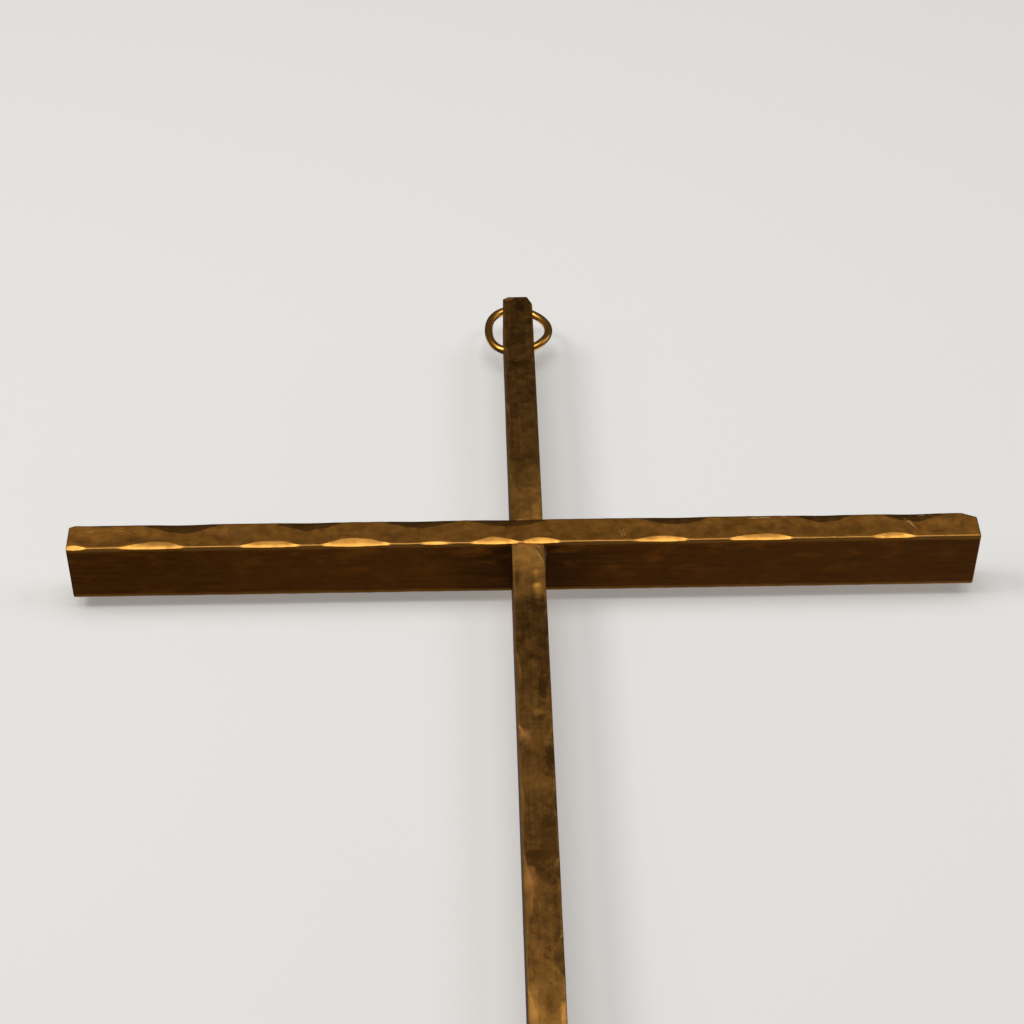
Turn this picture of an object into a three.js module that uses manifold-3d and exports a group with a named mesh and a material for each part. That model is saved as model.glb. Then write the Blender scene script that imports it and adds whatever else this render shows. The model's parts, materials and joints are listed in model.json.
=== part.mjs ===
// A hammered brass Latin cross for hanging: two flat bars set on edge and halved into each other,
// silver soldered at the crossing, with a wire ring through the upright's top end.
// Millimetres. +X to the right, +Z up the upright, the front faces -Y.
// The origin is on the back face, at the centre of the crossing.
import * as THREE from 'three';
import { mergeVertices } from 'three/addons/utils/BufferGeometryUtils.js';
import Module from 'manifold-3d';

const wasm = await Module();
wasm.setup();

// ---- driving dimensions -------------------------------------------------------------------
const barThickness = 8; // the narrow side of the flat bar, which faces the viewer
const barDepth = 16; // front to back
const crossbarLength = 214.4;
const crossbarShift = -0.6; // the left arm is a little longer than the right one
const uprightWidth = 7.6; // the same stock, narrowed by hammering
const uprightSetBack = 0.4; // its front lies this far behind the crossbar's front
const topArm = 89.2; // top end above the crossbar's centreline
const bottomArm = 232; // foot below the crossbar's centreline

const lapGap = 0.3; // between the two notch floors, filled by the solder film
const flankGap = 0.3; // between a notch's sides and the bar that lies in it
const filmThickness = 0.2;
const filmInset = 0.3;
const seamLeg = 0.9; // legs of the solder fillet in each inner corner
const seamClearance = 0.1;
const seamInset = 0.4; // at the front and back ends of each fillet

const wireDiameter = 2.1;
const ringRadius = 8.3; // on average, to the wire's centreline
const ringOval = 0.36; // half of how much taller than wide the ring is bent
const ringFullness = 0.38; // how much fuller its left shoulders are than its right ones
const ringShift = 0.4; // sideways rest position of the ring in its hole
const ringSeat = 0.5; // the ring's lowest point at rest lies this far below the hole's axis
const holeDiameter = 4.2;
const holeFromTop = 7.8;
const holeFromBack = 3.8;
const countersink = 0.7;

// ---- derived places -----------------------------------------------------------------------
const halfBar = barThickness / 2;
const halfUpright = uprightWidth / 2;
const crossbarLeft = crossbarShift - crossbarLength / 2;
const crossbarRight = crossbarShift + crossbarLength / 2;
const crossbarFront = -barDepth;
const uprightFront = uprightSetBack - barDepth;
const lapPlane = -barDepth / 2;
const hole = new THREE.Vector3(0, -holeFromBack, topArm - holeFromTop);

// ---- hammer blows -------------------------------------------------------------------------
// [centre along the bar, length of the facet, its leg on the front face, its leg on the side]
const crossbarLowerBlows = [
  [-106, 7.5, 1.4, 0.5], [-88.3, 18.7, 2.1, 0.4], [-60.2, 17, 2, 0.35], [-39.9, 19, 2.3, 0.5],
  [-21, 12, 0.8, 0.2], [-7.6, 14, 1.9, 0.4], [3.2, 10.8, 1.8, 0.4], [31.2, 15.6, 1.8, 0.4],
  [54.6, 18.5, 1.8, 0.35], [86.3, 13, 1.5, 0.35],
];
const crossbarUpperBlows = [
  [-100, 14, 0.6, 0.15], [-81.8, 20.5, 3.1, 0.32], [-51, 18, 2.6, 0.28],
  [-24.7, 20.5, 2.4, 0.28], [-4.1, 20.5, 2.6, 0.28], [34.4, 19, 2.6, 0.3],
  [70.4, 15.6, 2.4, 0.3], [91.7, 17.6, 2.7, 0.32],
];
const uprightLeftBlows = [
  [64, 12, 0.8, 0.15], [40, 14, 0.9, 0.25], [9, 25, 2.3, 0.35], [-11, 14, 0.6, 0.2],
  [-44, 13, 1.1, 0.2], [-63.5, 7, 1.6, 0.2], [-82, 10.5, 0.8, 0.15], [-106, 23, 1.8, 0.3],
  [-136, 15.5, 1.9, 0.35], [-158, 13, 1.1, 0.2], [-181, 17, 1.8, 0.3], [-207, 14, 1.4, 0.25],
];
const uprightRightBlows = [
  [60, 11, 1, 0.15], [35, 10.5, 1.2, 0.15], [3, 19, 2.4, 0.4], [-4, 11, 2.2, 0.35],
  [-30, 12, 1, 0.2], [-67, 12, 2.2, 0.3], [-81.5, 10.5, 1, 0.2], [-100, 7, 1.2, 0.2],
  [-121, 11, 2.4, 0.35], [-140, 16.5, 1.3, 0.3], [-163, 14, 1.6, 0.25], [-189, 15.5, 1.9, 0.3],
  [-214, 13, 1.3, 0.25],
];
const blowSteps = 10;
const blowFullness = 1.2; // from 1 for a facet with blunt tips to 2 for one with long fine tips

// ---- solids -------------------------------------------------------------------------------
function solidOf(geometry, matrix = new THREE.Matrix4()) {
  const bare = geometry.clone().applyMatrix4(matrix);
  bare.deleteAttribute('normal');
  bare.deleteAttribute('uv');
  const welded = mergeVertices(bare, 1e-5);
  return new wasm.Manifold(new wasm.Mesh({
    numProp: 3,
    vertProperties: new Float32Array(welded.attributes.position.array),
    triVerts: new Uint32Array(welded.index.array),
  }));
}

function geometryOf(solid) {
  const { vertProperties, triVerts } = solid.getMesh();
  const geometry = new THREE.BufferGeometry();
  geometry.setAttribute('position', new THREE.BufferAttribute(vertProperties, 3));
  geometry.setIndex(new THREE.BufferAttribute(triVerts, 1));
  return geometry;
}

function block(min, max) {
  const size = max.clone().sub(min);
  const centre = min.clone().add(max).multiplyScalar(0.5);
  const geometry = new THREE.BoxGeometry(size.x, size.y, size.z);
  return solidOf(geometry, new THREE.Matrix4().makeTranslation(centre));
}

// The tool of one hammer blow, lying along u with the bar's arris at v = 0 and the metal below it.
// Its under side swings down to the full depth and back, so the facet tapers to fine tips.
function blowTool(length, depth) {
  const tip = 0.03;
  const cover = 2;
  const outline = new THREE.Shape();
  outline.moveTo(-length / 2, cover);
  for (let i = 0; i <= blowSteps; i++) {
    const t = 2 * i / blowSteps - 1;
    const swell = Math.max(0, Math.cos(t * Math.PI / 2)) ** blowFullness;
    outline.lineTo(t * length / 2, depth * (tip - (1 + tip) * swell));
  }
  outline.lineTo(length / 2, cover);
  const width = 8;
  const tool = new THREE.ExtrudeGeometry(outline, { depth: width, bevelEnabled: false });
  return tool.translate(0, 0, -width / 2);
}

// Cuts blows into the arris that runs through origin along the given direction, between the
// front face and the side whose outward direction is given.
function hammer(solid, blows, origin, along, side) {
  const front = new THREE.Vector3(0, -1, 0);
  return blows.reduce((rest, [centre, length, faceLeg, sideLeg]) => {
    const slope = front.clone().divideScalar(sideLeg).addScaledVector(side, 1 / faceLeg);
    const depth = 1 / slope.length();
    const outward = slope.normalize();
    const place = new THREE.Matrix4().makeBasis(along, outward, along.clone().cross(outward));
    place.setPosition(origin.clone().addScaledVector(along, centre));
    return rest.subtract(solidOf(blowTool(length, depth), place));
  }, solid);
}

// Knocks off the corner of a bar with one flat cut that takes the given leg from each edge.
function knockOff(solid, corner, legs) {
  const slope = new THREE.Vector3(1 / legs.x, 1 / legs.y, 1 / legs.z);
  const normal = slope.clone().normalize();
  const depth = 1 / slope.length();
  const size = 24;
  const turn = new THREE.Quaternion().setFromUnitVectors(new THREE.Vector3(0, 0, 1), normal);
  const centre = corner.clone().addScaledVector(normal, size / 2 - depth);
  const place = new THREE.Matrix4().compose(centre, turn, new THREE.Vector3(1, 1, 1));
  return solid.subtract(solidOf(new THREE.BoxGeometry(size, size, size), place));
}

// ---- sub-parts ----------------------------------------------------------------------------
function makeUpright() {
  let bar = block(
    new THREE.Vector3(-halfUpright, uprightFront, -bottomArm),
    new THREE.Vector3(halfUpright, 0, topArm),
  );
  // the crossbar lies in this notch, open to the front
  bar = bar.subtract(block(
    new THREE.Vector3(-halfUpright - 1, uprightFront - 1, -halfBar - flankGap),
    new THREE.Vector3(halfUpright + 1, lapPlane + lapGap / 2, halfBar + flankGap),
  ));
  bar = bar.subtract(ringHole());
  const up = new THREE.Vector3(0, 0, 1);
  for (const [side, blows] of [[-1, uprightLeftBlows], [1, uprightRightBlows]]) {
    const arris = new THREE.Vector3(side * halfUpright, uprightFront, 0);
    bar = hammer(bar, blows, arris, up, new THREE.Vector3(side, 0, 0));
  }
  const topRight = new THREE.Vector3(halfUpright, uprightFront, topArm);
  const topLeft = new THREE.Vector3(-halfUpright, uprightFront, topArm);
  bar = knockOff(bar, topRight, new THREE.Vector3(1.4, -7, 3.2));
  return knockOff(bar, topLeft, new THREE.Vector3(-1.8, -1, 1.1));
}

// A drilled hole across the upright with a small countersink at each mouth.
function ringHole() {
  const radius = holeDiameter / 2;
  const sides = 28;
  const overlap = 0.5;
  const across = new THREE.Matrix4().makeRotationZ(Math.PI / 2).setPosition(hole);
  let drill = solidOf(new THREE.CylinderGeometry(radius, radius, uprightWidth + 2, sides), across);
  for (const side of [-1, 1]) {
    const depth = countersink + overlap;
    const wide = radius + depth;
    const cone = new THREE.CylinderGeometry(side > 0 ? radius : wide, side > 0 ? wide : radius,
      depth, sides);
    cone.translate(0, -side * (halfUpright - countersink + depth / 2), 0);
    drill = drill.add(solidOf(cone, across));
  }
  return drill;
}

function makeCrossbar() {
  let bar = block(
    new THREE.Vector3(crossbarLeft, crossbarFront, -halfBar),
    new THREE.Vector3(crossbarRight, 0, halfBar),
  );
  // the upright lies in this notch, open to the back
  bar = bar.subtract(block(
    new THREE.Vector3(-halfUpright - flankGap, lapPlane - lapGap / 2, -halfBar - 1),
    new THREE.Vector3(halfUpright + flankGap, 1, halfBar + 1),
  ));
  const right = new THREE.Vector3(1, 0, 0);
  for (const [side, blows] of [[-1, crossbarLowerBlows], [1, crossbarUpperBlows]]) {
    const arris = new THREE.Vector3(0, crossbarFront, side * halfBar);
    bar = hammer(bar, blows, arris, right, new THREE.Vector3(0, 0, side));
  }
  const upperRight = new THREE.Vector3(crossbarRight, crossbarFront, halfBar);
  const upperLeft = new THREE.Vector3(crossbarLeft, crossbarFront, halfBar);
  bar = knockOff(bar, upperRight, new THREE.Vector3(3.8, -7, 1.6));
  return knockOff(bar, upperLeft, new THREE.Vector3(-1.7, -3, 0.7));
}

// The film of solder between the two notch floors.
function makeLapSolder() {
  const x = halfUpright - filmInset;
  const z = halfBar - filmInset;
  return block(
    new THREE.Vector3(-x, lapPlane - filmThickness / 2, -z),
    new THREE.Vector3(x, lapPlane + filmThickness / 2, z),
  );
}

// The fillet of solder in one inner corner of the crossing, from front to back.
function makeSeamSolder(sideX, sideZ) {
  const outline = new THREE.Shape();
  outline.moveTo(0, 0);
  outline.lineTo(seamLeg, 0);
  outline.quadraticCurveTo(seamLeg * 0.25, seamLeg * 0.25, 0, seamLeg);
  const length = barDepth - uprightSetBack - 2 * seamInset;
  const settings = { depth: length, bevelEnabled: false, curveSegments: 5 };
  const bead = new THREE.ExtrudeGeometry(outline, settings);
  // local x and y run away from the corner along the two bars, local z runs to the back or front
  const alongX = new THREE.Vector3(sideX, 0, 0);
  const alongZ = new THREE.Vector3(0, 0, sideZ);
  const run = alongX.clone().cross(alongZ);
  const start = run.y > 0 ? uprightFront + seamInset : -seamInset;
  const place = new THREE.Matrix4().makeBasis(alongX, alongZ, run).setPosition(
    sideX * (halfUpright + seamClearance), start, sideZ * (halfBar + seamClearance),
  );
  return solidOf(bead, place);
}

// How far the wire's centreline lies from the ring's middle, at an angle from its right side.
function ringReach(angle) {
  const shoulders = ringFullness * (Math.cos(3 * angle) - Math.cos(angle));
  return ringRadius - ringOval * Math.cos(2 * angle) + shoulders;
}

// A round wire bent to the ring by hand, a little taller than wide.
function makeRing() {
  const ring = new THREE.TorusGeometry(ringRadius, wireDiameter / 2, 12, 48);
  const points = ring.attributes.position;
  for (let i = 0; i < points.count; i++) {
    const angle = Math.atan2(points.getY(i), points.getX(i));
    const shift = ringReach(angle) - ringRadius;
    points.setX(i, points.getX(i) + shift * Math.cos(angle));
    points.setY(i, points.getY(i) + shift * Math.sin(angle));
  }
  return ring;
}

// ---- the assembly -------------------------------------------------------------------------
const brass = new THREE.MeshStandardMaterial({ color: 0x9a7a45, roughness: 0.42, metalness: 1 });
const ringBrass = new THREE.MeshStandardMaterial({ color: 0xc9a04e, roughness: 0.25, metalness: 1 });
const solder = new THREE.MeshStandardMaterial({ color: 0xb9a985, roughness: 0.4, metalness: 1 });

function named(name, geometry, material) {
  const mesh = new THREE.Mesh(geometry, material);
  mesh.name = name;
  return mesh;
}

const cross = new THREE.Group();
cross.add(named('upright_bar', geometryOf(makeUpright()), brass));
cross.add(named('crossbar', geometryOf(makeCrossbar()), brass));
cross.add(named('lap_solder', geometryOf(makeLapSolder()), solder));
for (const [height, sideZ] of [['upper', 1], ['lower', -1]]) {
  for (const [hand, sideX] of [['left', -1], ['right', 1]]) {
    cross.add(named(`seam_solder_${height}_${hand}`, geometryOf(makeSeamSolder(sideX, sideZ)), solder));
  }
}

// The ring turns about the hole's axis and stands straight up beside the upright's top end.
const ringPivot = new THREE.Group();
ringPivot.position.copy(hole);
const ring = named('hanging_ring', makeRing(), ringBrass);
ring.position.set(ringShift, 0, ringReach(-Math.PI / 2) - ringSeat);
ring.rotation.x = Math.PI / 2;
ringPivot.add(ring);
cross.add(ringPivot);

export default cross;
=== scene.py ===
"""A hammered brass hanging cross: two halved and soldered flat bars and a wire ring.

The frame is the CAD one, in metres: +X right, +Z up the upright, the front faces -Y,
the origin is on the back face at the crossing.
"""
import json
import math

import bmesh
import bpy
from mathutils import Matrix, Vector, noise


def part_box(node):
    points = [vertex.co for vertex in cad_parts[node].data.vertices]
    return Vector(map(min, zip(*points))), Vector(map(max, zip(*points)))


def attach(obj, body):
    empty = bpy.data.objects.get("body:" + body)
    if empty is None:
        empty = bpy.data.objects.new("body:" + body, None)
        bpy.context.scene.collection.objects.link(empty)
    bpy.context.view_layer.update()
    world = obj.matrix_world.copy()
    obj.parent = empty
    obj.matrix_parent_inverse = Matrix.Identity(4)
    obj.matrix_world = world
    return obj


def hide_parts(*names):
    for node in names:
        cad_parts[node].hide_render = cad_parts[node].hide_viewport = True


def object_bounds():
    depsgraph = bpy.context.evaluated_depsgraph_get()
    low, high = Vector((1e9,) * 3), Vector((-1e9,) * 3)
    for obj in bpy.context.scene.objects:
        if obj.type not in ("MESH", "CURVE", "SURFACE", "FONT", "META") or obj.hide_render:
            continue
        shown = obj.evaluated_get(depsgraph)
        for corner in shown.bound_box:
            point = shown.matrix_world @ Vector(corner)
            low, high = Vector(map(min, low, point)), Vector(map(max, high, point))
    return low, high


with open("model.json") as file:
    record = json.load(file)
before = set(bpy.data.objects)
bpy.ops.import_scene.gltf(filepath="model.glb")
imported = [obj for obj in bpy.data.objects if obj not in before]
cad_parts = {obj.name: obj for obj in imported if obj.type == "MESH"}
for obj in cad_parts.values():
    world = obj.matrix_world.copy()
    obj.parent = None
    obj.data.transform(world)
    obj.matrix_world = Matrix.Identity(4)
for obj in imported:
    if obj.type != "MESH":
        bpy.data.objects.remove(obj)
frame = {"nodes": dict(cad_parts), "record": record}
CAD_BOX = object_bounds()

MM = 0.001

# ---- places and sizes taken from the frame ------------------------------------------------
UPRIGHT_LO, UPRIGHT_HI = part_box("upright_bar")
CROSSBAR_LO, CROSSBAR_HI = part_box("crossbar")
RING_LO, RING_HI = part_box("hanging_ring")
HALF_BAR = CROSSBAR_HI.z
HALF_UPRIGHT = UPRIGHT_HI.x
CROSSBAR_FRONT = CROSSBAR_LO.y
UPRIGHT_FRONT = UPRIGHT_LO.y
LAP_PLANE = CROSSBAR_FRONT / 2
HINGE = Vector(frame["record"]["behaviour"]["joints"][0]["pos_m"])

# ---- hammer blows in mm: centre along the bar, length, leg on the front face, leg on the side
CROSSBAR_LOWER_BLOWS = [
    (-106, 7.5, 1.4, 0.5), (-88.3, 18.7, 2.1, 0.4), (-60.2, 17, 2, 0.35), (-39.9, 19, 2.3, 0.5),
    (-21, 12, 0.8, 0.2), (-7.6, 14, 1.9, 0.4), (3.2, 10.8, 1.8, 0.4), (31.2, 15.6, 1.8, 0.4),
    (54.6, 18.5, 1.8, 0.35), (86.3, 13, 1.5, 0.35),
]
CROSSBAR_UPPER_BLOWS = [
    (-100, 14, 0.6, 0.15), (-81.8, 20.5, 3.1, 0.32), (-51, 18, 2.6, 0.28),
    (-24.7, 20.5, 2.4, 0.28), (-4.1, 20.5, 2.6, 0.28), (34.4, 19, 2.6, 0.3),
    (70.4, 15.6, 2.4, 0.3), (91.7, 17.6, 2.7, 0.32),
]
UPRIGHT_LEFT_BLOWS = [
    (64, 12, 0.8, 0.15), (40, 14, 0.9, 0.25), (9, 25, 2.3, 0.35), (-11, 14, 0.6, 0.2),
    (-44, 13, 1.1, 0.2), (-63.5, 7, 1.6, 0.2), (-82, 10.5, 0.8, 0.15), (-106, 23, 1.8, 0.3),
    (-136, 15.5, 1.9, 0.35), (-158, 13, 1.1, 0.2), (-181, 17, 1.8, 0.3), (-207, 14, 1.4, 0.25),
]
UPRIGHT_RIGHT_BLOWS = [
    (60, 11, 1, 0.15), (35, 10.5, 1.2, 0.15), (3, 19, 2.4, 0.4), (-4, 11, 2.2, 0.35),
    (-30, 12, 1, 0.2), (-67, 12, 2.2, 0.3), (-81.5, 10.5, 1, 0.2), (-100, 7, 1.2, 0.2),
    (-121, 11, 2.4, 0.35), (-140, 16.5, 1.3, 0.3), (-163, 14, 1.6, 0.25), (-189, 15.5, 1.9, 0.3),
    (-214, 13, 1.3, 0.25),
]

BLOW_FULLNESS = 1.2  # from 1 for a facet with blunt tips to 2 for one with long fine tips
BLOW_LEAN = 0.1  # how far a facet's deepest place may lie off its middle, in half lengths

# corners knocked off: the leg of the cut along each edge, in mm, with its outward sign
UPRIGHT_TOP_RIGHT = (1.4, -7, 3.2)
UPRIGHT_TOP_LEFT = (-1.8, -1, 1.1)
CROSSBAR_UPPER_RIGHT = (3.8, -7, 1.6)
CROSSBAR_UPPER_LEFT = (-1.7, -3, 0.7)

# dents in the front faces: along, across, half length, half width, depth, in mm, and the rim,
# from 1 for a crisp one to 2 for a soft one
CROSSBAR_DENTS = [
    (-99.3, 0.1, 7.6, 2.95, 0.14, 1), (-88, -0.4, 6, 2.6, 0.06, 2), (-72, 0.8, 6, 3.2, 0.07, 2),
    (-49, -0.4, 7, 3, 0.06, 2), (-31, 0.6, 6, 3.2, 0.06, 2), (-12, -0.4, 5, 3, 0.06, 2),
    (7, 0.2, 3, 1.6, 0.05, 1.5), (15, 0.4, 6, 3.4, 0.06, 2), (27, -0.7, 6, 3.2, 0.07, 2),
    (43, 0.6, 7, 3.2, 0.06, 2), (56, 0.8, 4, 2.4, 0.05, 1.5), (66, -0.2, 6, 3.4, 0.07, 2),
    (79, 0.6, 6, 3, 0.06, 2), (98, -0.3, 5.5, 2.6, 0.08, 1.5),
]
UPRIGHT_DENTS = [
    (80, 0.3, 6, 3, 0.06, 2), (63, -0.6, 7, 3, 0.06, 2), (45, 0.5, 6, 3.2, 0.05, 2),
    (27, -0.3, 6, 3, 0.06, 2), (11, 0.9, 5, 2.6, 0.06, 2), (-14.6, 1.6, 2.4, 0.8, 0.1, 1),
    (-20, 1.8, 3.2, 1.5, 0.24, 1), (-13, -1, 8, 2.6, 0.05, 1.5), (-36, -0.4, 4, 2.4, 0.06, 1.5),
    (-47, 0.5, 6, 3, 0.06, 2), (-56.5, -0.2, 3, 2.8, 0.05, 1.5), (-64, -2.2, 2.6, 1.4, 0.05, 1.5),
    (-78, -0.4, 7, 3, 0.07, 2), (-95, 0.5, 7, 3, 0.08, 2), (-112, -0.6, 7, 3, 0.07, 2),
    (-128, 0.5, 6, 3, 0.08, 2), (-146, -0.4, 7, 3, 0.07, 2), (-166, 0.4, 7, 3, 0.08, 2),
    (-187, -0.5, 7, 3, 0.07, 2), (-208, 0.4, 7, 3, 0.08, 2), (-224, 0, 5, 3, 0.06, 2),
]

# how bright each front face is along the bar: place along the bar in mm, brightness 0 to 1
CROSSBAR_TONE = [(-108, 0.9), (-98, 0.75), (-86, 0.55), (-60, 0.55), (-30, 0.5), (0, 0.5),
                 (40, 0.55), (75, 0.62), (92, 0.75), (107, 0.9)]
UPRIGHT_TONE = [(88, 0.2), (60, 0.15), (40, 0.2), (28, 0.28), (14, 0.47), (4, 0.65), (-4, 1),
                (-10, 0.9), (-15, 0.5), (-20, 0.42), (-25, 0.08), (-32, 0.06), (-41, 0.11),
                (-53, 0.19), (-64, 0.25), (-73, 0.2), (-82, 0.11), (-94, 0.03), (-107, 0.11),
                (-120, 0.14), (-134, 0.31), (-160, 0.3), (-185, 0.42), (-210, 0.28),
                (-232, 0.42)]
# the same for the sides: darker in the inner corners by the crossing, painted shade from the other
# bar
CROSSBAR_SIDE_TONE_AND_SHADE = [(-108, 0.5), (-90, 0.35), (-60, 0.5), (-25, 0.45), (-7, 0.05), (7, 0.05),
                      (22, 0.4), (60, 0.5), (107, 0.5)]
UPRIGHT_SIDE_TONE_AND_SHADE = [(88, 0.5), (30, 0.5), (6, 0.1), (-6, 0.1), (-30, 0.5), (-232, 0.55)]

# stained spots in the front faces, and in the upright's list also painted highlights where dents, a
# facet and a chipped corner catch the light: along, across, half length, half width in mm, change of
# brightness
CROSSBAR_STAINS = [
    (-93.5, -1, 3, 1.2, -0.25), (-76, -1.2, 5, 1.6, -0.12), (7, -0.2, 2.2, 1.2, 0.35),
    (48, 0.5, 5, 2.4, -0.15), (98, -0.5, 5, 1.8, 0.3),
]
UPRIGHT_STAINS_AND_HIGHLIGHTS = [
    # the first and third spots on this line are painted highlights: the chipped top left corner and a
    # facet by the crossing catching the light
    (88.6, -2.4, 1.3, 1.5, 2.5), (84.5, 0.6, 3.5, 2, -0.2), (5, 3, 9, 1.6, 0.3),
    # the four bright spots from -14.3 to -21.6 are painted highlights on the dents there
    (-14.3, 1.6, 2.2, 0.8, 0.3), (-16.6, 2.2, 1.6, 0.6, 0.25), (-18.6, 1.7, 2.8, 1.1, 0.35),
    (-21.6, 2, 2.6, 0.7, 0.3), (-22.5, 0.6, 2.2, 2.6, -0.15), (-14, -2.8, 5, 0.8, -0.35),
    (-36, -0.5, 2.2, 1.8, 0.25), (-49.5, 1.9, 3.8, 1.1, -0.35), (-56.5, 0.6, 1.4, 1.2, 0.3),
    (-70, 3, 6, 1.3, -0.25), (-93, 0.6, 5.5, 2.2, -0.05), (-119, 2.9, 4, 1, -0.3),
    (-133, 0.6, 5, 1.6, -0.15), (-133, -2.7, 6, 1.3, 0.2), (-135, 3.3, 4, 0.9, 0.6),
    (-172, 0.8, 5, 2, -0.3), (-200, -0.6, 4, 1.8, 0.25),
]
# coppery spots: along, across, half length, half width in mm, strength
CROSSBAR_COPPER = [(-68, 0.6, 7, 2.2, 0.35), (-36, 0.8, 5, 1.6, 0.25), (36, 0.5, 7, 2, 0.25)]
UPRIGHT_COPPER = [(-63.5, -2.4, 2.6, 1.5, 1), (-103, -2.4, 4.5, 1.8, 0.7), (-118, -1, 4, 2, 0.15)]

# hair scratches in the front faces: from (along, across) to (along, across), in mm
CROSSBAR_SCRATCHES = [
    ((89.2, 2.4), (91.7, -1.3)), ((90.2, 2.0), (90.9, 0.3)), ((95.2, 3.6), (96.5, 3.0)),
    ((92.8, 3.2), (94.4, 3.5)), ((52.4, 3.0), (57.5, 3.2)), ((60.6, 3.5), (61.6, 2.9)),
    ((21.8, -0.4), (22.2, -2.3)), ((22.6, -0.2), (22.8, -2.0)),
]
UPRIGHT_SCRATCHES = [((-6, 1.8), (-10.4, 3.3)), ((-4.8, 2.6), (-7, 3.2))]

SCRATCH_FADE = 0.042 * MM, 0.14 * MM  # how far from its middle a scratch starts and ends to fade

# the outline of an oval punch mark in the crossbar's front: along, across, half length, half width
OVAL_MARK = (-99.3, 0.1, 7.6, 2.95)
OVAL_FADE = 0.01, 0.08  # the same for the outline, as shares of the oval's size

RING_RADIUS = 8.3 * MM  # on average, to the wire's centreline
RING_OVAL = 0.36 * MM  # a quarter of how much taller than wide it is, through its middle
RING_FULLNESS = 0.38 * MM  # about a third of how much fuller its left shoulders are than its right

ARRIS = 0.16 * MM  # legs of the worn edge between the blows
RUBBED_ARRIS = 0.3 * MM  # the same on the crossbar's lower front edge
BACK_ARRIS = 1.5 * ARRIS
ARRIS_WAVER, FACET_WAVER = 0.4, 0.26  # how much the legs of arrises and of facets vary
WAVER_LENGTH = 3 * MM  # along the bar
ARRIS_EASE = 0.1 * MM  # how far each edge of a cut corner is rounded, at most
END_EASE = 0.22 * MM  # radius of the rounding round the ends of a bar
FACET_FROM, FACET_FULL = 0.36 * MM, 0.76 * MM  # face legs that start to look struck and fully do
RIM_RUB = 0.3  # how rubbed the rims of an arris are, against its middle
FACET_UNRUBBED = 0.85  # how much of the rubbed look a struck facet loses
STATION = 0.4 * MM  # spacing of the sections along a bar
END_STATION = 0.2 * MM  # the same in the last END_ZONE of it
END_ZONE = 3 * MM
FACE_STEP = 0.45 * MM  # spacing of the points across a front or back face
SIDE_STEP = 1.1 * MM  # the same across a side
WIDTH_WAVER = 0.04 * MM  # how much each half of a bar's width varies along it
UNEVEN_ACROSS, UNEVEN_DEEP = 0.02 * MM, 0.022 * MM  # how uneven drawing and wear left the faces
DENT_REACH = 1.2 * MM  # how far behind the front face a dent fades out
END_DISH = 0.12 * MM  # how far the middle of a filed end may lie in or out
END_RINGS = (0.93, 0.75, 0.5, 0.25)  # sizes of the rings of points in an end, against its outline
NOTCH_FLOOR = 0.1 * MM  # from the joint's middle plane to each notch's floor
NOTCH_PLAY = 0.04 * MM  # how much wider than the other bar each notch is, on each side
NOTCH_WALL = 0.01 * MM  # from a notch's edge to the sections on either side of it
NOTCH_WELD, WELD = 0.05 * MM, 0.002 * MM  # points closer than this become one
END_MARK = (0.1, 0.0, 0.6, 0.5, 0.0)  # what Bar.LAYERS hold on the filed ends
# at a knocked-off corner the facet value gives the lit struck colour, a painted highlight
KNOCKED_MARK = {"edge": 0.3, "facet": 0.7, "side": 0.0}  # what they hold where a corner is off

HOLE_RADIUS = 2.1 * MM
COUNTERSINK = 0.7 * MM
WIRE_ENDS_AT = math.radians(78)  # where the ring's wire meets itself, from +X towards +Z
WIRE_END_GAP = 0.09 * MM  # from the butt joint's middle to each end of the wire
WIRE_END_STEP = 0.07 * MM  # how far the two ends miss each other, front to back
WIRE_TAPER = (0.86, 0.97)  # how thick the wire is at its filed ends and one step on
WIRE_WAVER = 0.008  # how much its thickness varies
SEAM_LEG = 0.9 * MM  # how far a solder seam may reach along each bar
SEAM_TUCK = 0.05 * MM  # how deep a solder seam reaches into its corner
SEAM_SINK = 0.03 * MM  # how far its edges lie inside the bars


# ---- bars: a section swept along the bar, with its own corner cuts at each station ----------
def wave(along, seed, scale):
    """Smooth noise from -1 to 1 along a bar."""
    return noise.noise(Vector((along / scale, seed * 7.3, seed * 1.7)))


def blow_legs(blows, along):
    """The legs of the deepest blow's facet at this place, on the face and on the side."""
    deepest = (0.0, 0.0)
    for centre, length, face_leg, side_leg in blows:
        t = (along / MM - centre) * 2 / length
        if abs(t) < 1:
            t -= BLOW_LEAN * math.sin(centre / 20) * (1 - t * t)
            swell = math.cos(t * math.pi / 2) ** BLOW_FULLNESS
            deepest = max(deepest, (face_leg * swell, side_leg * swell))
    return deepest[0] * MM, deepest[1] * MM


def between(stations, along):
    """Reads a list of (place, value), sorted either way, at a place along the bar."""
    ordered = sorted(stations)
    here = min(max(along / MM, ordered[0][0]), ordered[-1][0])
    for (low, start), (high, end) in zip(ordered, ordered[1:]):
        if here <= high:
            t = (here - low) / (high - low)
            return start + (end - start) * t * t * (3 - 2 * t)
    return ordered[-1][1]


def patches(spots, along, across, raggedness):
    """The sum of soft ragged spots at one place of a face."""
    p = Vector((along, across, 0)) / MM
    ragged = 1 + raggedness * noise.noise(p / 1.3) + 0.5 * raggedness * noise.noise(p * 1.9)
    total = 0.0
    for centre, side, half_length, half_width, strength in spots:
        r = math.hypot((p.x - centre) / half_length, (p.y - side) / half_width) * ragged
        if r < 1:
            total += strength * (1 - r * r)
    return total


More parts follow.
